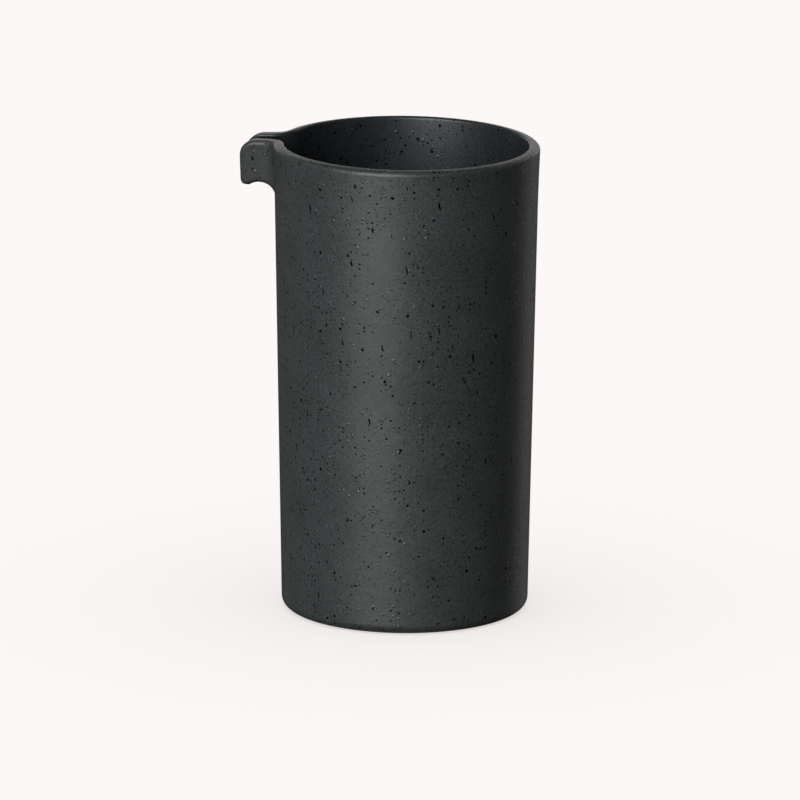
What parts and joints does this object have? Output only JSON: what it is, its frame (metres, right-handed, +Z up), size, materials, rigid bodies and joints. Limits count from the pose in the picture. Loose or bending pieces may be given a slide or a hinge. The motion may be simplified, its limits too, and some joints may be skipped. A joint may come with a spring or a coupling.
{
  "type": "stoneware milk pitcher",
  "caption": "Handleless tapered cylindrical pitcher of dark speckled stoneware with a narrow, grooved, turned-down beak spout on the rim and a recessed foot.",
  "frame": {"origin": "on the axis of the cup, in the plane that the foot ring stands on; the glazed face of the foot recess is 0.6 mm above it", "axes": "+Z up along the cup's axis, out of the mouth; the beak points along -X; +Y is across the beak"},
  "size_m": [0.0863, 0.076, 0.136],
  "materials": {
    "clay": "bare fired dark stoneware, fine grained, on the foot ring",
    "outer_glaze": "satin-matte charcoal glaze with fine black iron specks, short runs and small pits",
    "inner_glaze": "satin charcoal liner glaze with the same black specks, slightly glossier than the outside",
    "base_glaze": "satin-matte charcoal glaze in the recess under the foot"
  },
  "bodies": {
    "root": {"clay_body": "clay", "outer_glaze": "outer_glaze", "inner_glaze": "inner_glaze", "base_glaze": "base_glaze"}
  },
  "joints": []
}
